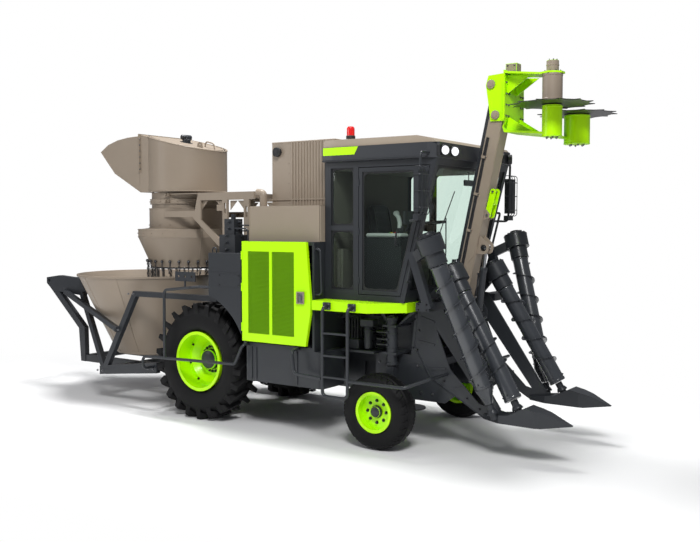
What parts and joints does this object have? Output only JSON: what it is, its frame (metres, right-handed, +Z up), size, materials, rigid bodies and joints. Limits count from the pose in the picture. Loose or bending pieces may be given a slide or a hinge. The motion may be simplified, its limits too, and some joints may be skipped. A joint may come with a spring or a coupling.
{
  "type": "sugarcane harvester",
  "caption": "Wheeled chopper harvester for sugarcane with a raised topper, spiral crop dividers, a leaning glazed cab, an extractor tower and a rear collecting bowl.",
  "frame": {"origin": "on the ground below the middle of the machine's overall length and width", "axes": "+X forward, +Y to the driver's left, +Z up"},
  "size_m": [8.695, 2.528, 4.2499],
  "materials": {
    "lime_paint": "gloss",
    "tan_paint": "satin",
    "dark_paint": "satin",
    "tyre_rubber": "matte",
    "window_glass": "clear",
    "engine_iron": "painted",
    "seat_cover": "woven",
    "cab_plastic": "grained",
    "rod_chrome": "polished",
    "worn_steel": "worn"
  },
  "bodies": {
    "chassis": {"chassis_frame": "dark_paint", "feed_duct": "dark_paint", "body_shell": "dark_paint", "engine_block": "engine_iron", "cooling_housing": "tan_paint", "side_tanks": "dark_paint", "platform": "lime_paint", "ladder": "dark_paint", "guards": "dark_paint", "cab_shell": "dark_paint", "cab_glass": "window_glass", "cab_roof": "tan_paint", "seat_cushion": "seat_cover", "cab_fittings": "cab_plastic", "mirrors": "dark_paint", "valve_stack": "dark_paint", "extractor_tower": "tan_paint", "chain_curtain": "worn_steel", "bowl": "tan_paint", "rear_frame": "dark_paint", "hinge_heads": "dark_paint", "front_frame": "dark_paint", "divider_left": "dark_paint", "divider_right": "dark_paint"},
    "rear_wheel_left": {"rear_rim_left": "lime_paint", "rear_tyre_left": "tyre_rubber"},
    "rear_wheel_right": {"rear_rim_right": "lime_paint", "rear_tyre_right": "tyre_rubber"},
    "knuckle_left": {"knuckle_left": "dark_paint"},
    "knuckle_right": {"knuckle_right": "dark_paint"},
    "front_wheel_left": {"front_rim_left": "lime_paint", "front_tyre_left": "tyre_rubber"},
    "front_wheel_right": {"front_rim_right": "lime_paint", "front_tyre_right": "tyre_rubber"},
    "service_door_left": {"service_door_left": "lime_paint"},
    "service_door_right": {"service_door_right": "lime_paint"},
    "cab_door": {"cab_door": "dark_paint", "door_glass": "window_glass"},
    "extractor_hood": {"extractor_hood": "tan_paint"},
    "extractor_fan": {"extractor_fan": "dark_paint"},
    "scroll_inner_left": {"scroll_inner_left": "dark_paint"},
    "scroll_inner_right": {"scroll_inner_right": "dark_paint"},
    "scroll_outer_left": {"scroll_outer_left": "dark_paint"},
    "scroll_outer_right": {"scroll_outer_right": "dark_paint"},
    "topper_boom": {"topper_boom": "tan_paint"},
    "topper_link": {"topper_link": "tan_paint"},
    "topper_head": {"topper_head": "lime_paint"},
    "topper_disc_left": {"topper_disc_left": "worn_steel"},
    "topper_disc_right": {"topper_disc_right": "worn_steel"},
    "lift_barrel": {"lift_barrel": "dark_paint"},
    "lift_rod": {"lift_rod": "rod_chrome"}
  },
  "joints": [
    {"name": "rear_wheel_left_roll", "type": "hinge", "parent": "chassis", "child": "rear_wheel_left", "pos_m": [-0.4875, 0.88, 0.742], "axis": [0, 1, 0], "continuous": true},
    {"name": "steer_left", "type": "hinge", "parent": "chassis", "child": "knuckle_left", "pos_m": [2.1925, 0.72, 1], "axis": [0, 0, 1], "range_deg": [-17, 17]},
    {"name": "front_wheel_left_roll", "type": "hinge", "parent": "knuckle_left", "child": "front_wheel_left", "pos_m": [2.1925, 0.986, 0.42], "axis": [0, 1, 0], "continuous": true},
    {"name": "service_door_left_swing", "type": "hinge", "parent": "chassis", "child": "service_door_left", "pos_m": [0.3325, 1.15, 1.68], "axis": [0, 0, 1], "range_deg": [0, 95]},
    {"name": "rear_wheel_right_roll", "type": "hinge", "parent": "chassis", "child": "rear_wheel_right", "pos_m": [-0.4875, -0.88, 0.742], "axis": [0, 1, 0], "continuous": true},
    {"name": "steer_right", "type": "hinge", "parent": "chassis", "child": "knuckle_right", "pos_m": [2.1925, -0.72, 1], "axis": [0, 0, 1], "range_deg": [-17, 17]},
    {"name": "front_wheel_right_roll", "type": "hinge", "parent": "knuckle_right", "child": "front_wheel_right", "pos_m": [2.1925, -0.986, 0.42], "axis": [0, 1, 0], "continuous": true},
    {"name": "service_door_right_swing", "type": "hinge", "parent": "chassis", "child": "service_door_right", "pos_m": [0.3325, -1.15, 1.68], "axis": [0, 0, -1], "range_deg": [0, 95]},
    {"name": "cab_door_swing", "type": "hinge", "parent": "chassis", "child": "cab_door", "pos_m": [1.8605, -0.9, 2.4], "axis": [0, 0, -1], "range_deg": [0, 75]},
    {"name": "extractor_hood_slew", "type": "hinge", "parent": "chassis", "child": "extractor_hood", "pos_m": [-1.7075, 0, 2.93], "axis": [0, 0, 1], "range_deg": [-150, 150]},
    {"name": "extractor_fan_spin", "type": "hinge", "parent": "chassis", "child": "extractor_fan", "pos_m": [-1.7075, 0, 2.715], "axis": [0, 0, 1], "continuous": true},
    {"name": "scroll_inner_left_spin", "type": "hinge", "parent": "chassis", "child": "scroll_inner_left", "pos_m": [3.6855, 0.635, 0.552], "axis": [-0.5088, -0.0652, 0.8584], "continuous": true},
    {"name": "scroll_inner_right_spin", "type": "hinge", "parent": "chassis", "child": "scroll_inner_right", "pos_m": [3.6855, -0.635, 0.552], "axis": [-0.5088, 0.0652, 0.8584], "continuous": true},
    {"name": "scroll_outer_left_spin", "type": "hinge", "parent": "chassis", "child": "scroll_outer_left", "pos_m": [3.4525, 0.745, 0.5], "axis": [-0.2975, 0.1827, 0.9371], "continuous": true},
    {"name": "scroll_outer_right_spin", "type": "hinge", "parent": "chassis", "child": "scroll_outer_right", "pos_m": [3.4525, -0.745, 0.5], "axis": [-0.2975, -0.1827, 0.9371], "continuous": true},
    {"name": "topper_boom_lift", "type": "hinge", "parent": "chassis", "child": "topper_boom", "pos_m": [2.7325, 0, 1.7], "axis": [0, 1, 0], "range_deg": [0, 40]},
    {"name": "topper_link_swing", "type": "hinge", "parent": "chassis", "child": "topper_link", "pos_m": [2.6775, 0, 2.04], "axis": [0, 1, 0], "range_deg": [0, 40]},
    {"name": "topper_head_level", "type": "hinge", "parent": "topper_boom", "child": "topper_head", "pos_m": [3.1605, 0, 3.69], "axis": [0, 1, 0], "range_deg": [-40, 0]},
    {"name": "topper_disc_left_spin", "type": "hinge", "parent": "topper_head", "child": "topper_disc_left", "pos_m": [3.9125, 0.365, 3.692], "axis": [0, 0, 1], "continuous": true},
    {"name": "topper_disc_right_spin", "type": "hinge", "parent": "topper_head", "child": "topper_disc_right", "pos_m": [3.9125, -0.365, 3.722], "axis": [0, 0, 1], "continuous": true},
    {"name": "lift_barrel_swing", "type": "hinge", "parent": "chassis", "child": "lift_barrel", "pos_m": [2.9125, 0, 1.45], "axis": [0, 1, 0], "range_deg": [0, 32]},
    {"name": "lift_rod_stroke", "type": "slide", "parent": "lift_barrel", "child": "lift_rod", "axis": [0.1095, 0, 0.994], "range_m": [-0.19, 0]}
  ],
  "couplings": [
    {"joint": "steer_right", "follows": "steer_left", "ratio": 1},
    {"joint": "topper_link_swing", "follows": "topper_boom_lift", "ratio": 1},
    {"joint": "topper_head_level", "follows": "topper_boom_lift", "ratio": -1},
    {"joint": "lift_barrel_swing", "follows": "topper_boom_lift", "ratio": 0.745},
    {"joint": "lift_rod_stroke", "follows": "topper_boom_lift", "m_per_rad": -0.249}
  ]
}
